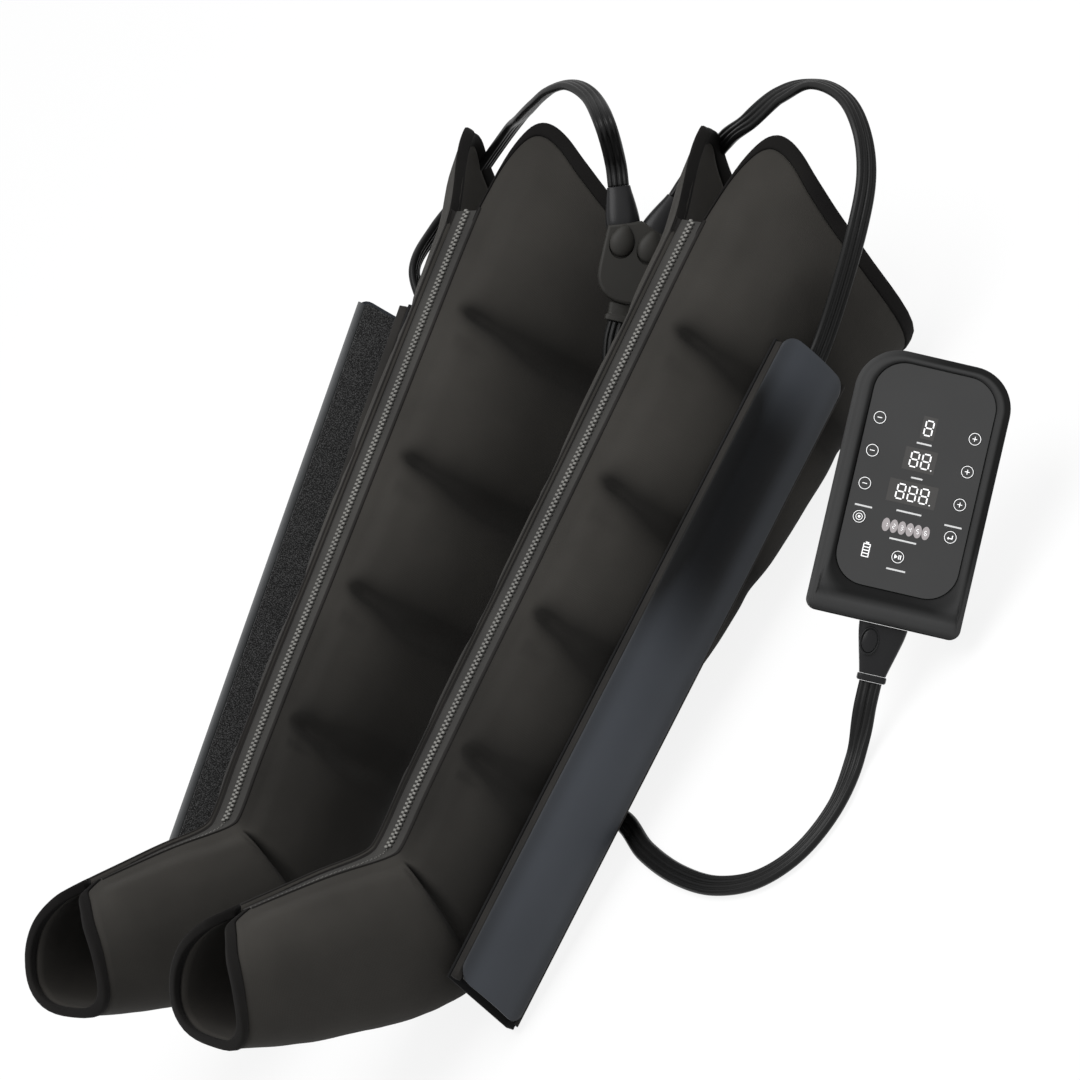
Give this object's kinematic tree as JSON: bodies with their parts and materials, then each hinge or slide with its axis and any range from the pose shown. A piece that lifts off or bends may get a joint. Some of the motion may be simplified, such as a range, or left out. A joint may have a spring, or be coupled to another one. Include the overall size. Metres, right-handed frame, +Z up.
{
  "type": "compression therapy pump",
  "caption": "Air compression therapy set: a hand-held pump with a key panel, flat ribbed hoses, a forked hose splitter, and a pair of zipped chambered leg boots.",
  "frame": {"origin": "on the floor, under the middle of the box round the boots and the pump", "axes": "+Z up, +Y from the feet towards the thighs along the boots, +X to the wearer's left, towards the pump"},
  "size_m": [0.8212, 0.9844, 0.2557],
  "materials": {
    "fabric": "matt woven, dark grey",
    "binding": "ribbon edge, near black",
    "tape": "woven tape",
    "teeth": "light grey moulded teeth",
    "flap": "satin bluish grey",
    "hook": "hook and loop pile",
    "shell": "satin dark grey",
    "panel": "smooth dark grey",
    "key": "smooth, with a plain ring and symbol",
    "hose": "satin ribbed",
    "plug": "satin near black",
    "splitter": "warm grey",
    "board": "coated circuit board",
    "battery": "wrapped cells",
    "metal": "plain",
    "rubber": "matt"
  },
  "bodies": {
    "mode_minus_button": {"mode_minus_key": "key"},
    "mode_plus_button": {"mode_plus_key": "key"},
    "time_minus_button": {"time_minus_key": "key"},
    "time_plus_button": {"time_plus_key": "key"},
    "pressure_minus_button": {"pressure_minus_key": "key"},
    "pressure_plus_button": {"pressure_plus_key": "key"},
    "portion_button": {"portion_key": "key"},
    "confirm_button": {"confirm_key": "key"},
    "on_pause_button": {"on_pause_key": "key"},
    "right_release": {"right_release_button": "splitter"},
    "left_release": {"left_release_button": "splitter"},
    "pump_release": {"pump_plug_release": "plug"},
    "left_flap": {"left_hose_cover_flap": "flap", "left_flap_hook_strip": "hook"},
    "right_flap": {"right_hose_cover_flap": "flap", "right_flap_hook_strip": "hook"},
    "left_slider": {"left_zipper_slider": "metal"},
    "left_puller": {"left_zipper_puller": "metal"},
    "right_slider": {"right_zipper_slider": "metal"},
    "right_puller": {"right_zipper_puller": "metal"},
    "set": {"left_boot_shell": "fabric", "left_top_binding": "binding", "left_toe_binding": "binding", "left_zipper_tape": "tape", "left_zipper_teeth": "teeth", "left_channel_base": "hook", "left_edge_strip": "hook", "left_hose_inlet": "plug", "right_boot_shell": "fabric", "right_top_binding": "binding", "right_toe_binding": "binding", "right_zipper_tape": "tape", "right_zipper_teeth": "teeth", "right_channel_base": "hook", "right_edge_strip": "hook", "right_hose_inlet": "plug", "splitter_body": "splitter", "splitter_tail": "rubber", "right_hose_plug": "plug", "left_hose_plug": "plug", "pump_front_housing": "shell", "pump_rear_cover": "shell", "housing_screw_1": "metal", "housing_screw_2": "metal", "housing_screw_3": "metal", "housing_screw_4": "metal", "control_panel": "panel", "display_module": "rubber", "main_board": "board", "battery_pack": "battery", "air_pump_motor": "metal", "air_pump_head": "rubber", "valve_manifold": "rubber", "hose_socket": "rubber", "charging_socket": "metal", "pump_plug_body": "plug", "pump_plug_collar": "rubber", "pump_hose": "hose", "left_boot_hose": "hose", "right_boot_hose": "hose"}
  },
  "joints": [
    {"name": "mode_minus_button_press", "type": "slide", "parent": "set", "child": "mode_minus_button", "axis": [-0.796, 0.2897, -0.5314], "range_m": [0, 0.0005], "stiffness_N_per_m": 600, "springref_m": -0.001},
    {"name": "mode_plus_button_press", "type": "slide", "parent": "set", "child": "mode_plus_button", "axis": [-0.796, 0.2897, -0.5314], "range_m": [0, 0.0005], "stiffness_N_per_m": 600, "springref_m": -0.001},
    {"name": "time_minus_button_press", "type": "slide", "parent": "set", "child": "time_minus_button", "axis": [-0.796, 0.2897, -0.5314], "range_m": [0, 0.0005], "stiffness_N_per_m": 600, "springref_m": -0.001},
    {"name": "time_plus_button_press", "type": "slide", "parent": "set", "child": "time_plus_button", "axis": [-0.796, 0.2897, -0.5314], "range_m": [0, 0.0005], "stiffness_N_per_m": 600, "springref_m": -0.001},
    {"name": "pressure_minus_button_press", "type": "slide", "parent": "set", "child": "pressure_minus_button", "axis": [-0.796, 0.2897, -0.5314], "range_m": [0, 0.0005], "stiffness_N_per_m": 600, "springref_m": -0.001},
    {"name": "pressure_plus_button_press", "type": "slide", "parent": "set", "child": "pressure_plus_button", "axis": [-0.796, 0.2897, -0.5314], "range_m": [0, 0.0005], "stiffness_N_per_m": 600, "springref_m": -0.001},
    {"name": "portion_button_press", "type": "slide", "parent": "set", "child": "portion_button", "axis": [-0.796, 0.2897, -0.5314], "range_m": [0, 0.0005], "stiffness_N_per_m": 600, "springref_m": -0.001},
    {"name": "confirm_button_press", "type": "slide", "parent": "set", "child": "confirm_button", "axis": [-0.796, 0.2897, -0.5314], "range_m": [0, 0.0005], "stiffness_N_per_m": 600, "springref_m": -0.001},
    {"name": "on_pause_button_press", "type": "slide", "parent": "set", "child": "on_pause_button", "axis": [-0.796, 0.2897, -0.5314], "range_m": [0, 0.0005], "stiffness_N_per_m": 600, "springref_m": -0.001},
    {"name": "right_release_press", "type": "slide", "parent": "set", "child": "right_release", "axis": [-0.796, 0.2897, -0.5314], "range_m": [0, 0.0015], "stiffness_N_per_m": 600, "springref_m": -0.001},
    {"name": "left_release_press", "type": "slide", "parent": "set", "child": "left_release", "axis": [-0.796, 0.2897, -0.5314], "range_m": [0, 0.0015], "stiffness_N_per_m": 600, "springref_m": -0.001},
    {"name": "pump_release_press", "type": "slide", "parent": "set", "child": "pump_release", "axis": [-0.796, 0.2897, -0.5314], "range_m": [0, 0.0015], "stiffness_N_per_m": 600, "springref_m": -0.001},
    {"name": "left_flap_hinge", "type": "hinge", "parent": "set", "child": "left_flap", "pos_m": [0.12469, -0.01006, 0.04328], "axis": [0.0995, 0.9886, 0.1126], "range_deg": [0, 100]},
    {"name": "right_flap_hinge", "type": "hinge", "parent": "set", "child": "right_flap", "pos_m": [-0.3593, -0.01092, 0.08125], "axis": [0.0866, -0.9837, -0.1578], "range_deg": [-45, 85]},
    {"name": "left_zipper_slide", "type": "slide", "parent": "set", "child": "left_slider", "axis": [0.0545, 0.7836, -0.6189], "range_m": [0, 0.045]},
    {"name": "left_puller_hinge", "type": "hinge", "parent": "left_slider", "child": "left_puller", "pos_m": [-0.00404, -0.34593, 0.22446], "axis": [-0.9976, 0.0693, 0], "range_deg": [0, 70]},
    {"name": "right_zipper_slide", "type": "slide", "parent": "set", "child": "right_slider", "axis": [-0.0545, 0.7836, -0.6189], "range_m": [0, 0.045]},
    {"name": "right_puller_hinge", "type": "hinge", "parent": "right_slider", "child": "right_puller", "pos_m": [-0.23144, -0.34593, 0.22446], "axis": [-0.9976, -0.0693, 0], "range_deg": [0, 70]}
  ]
}
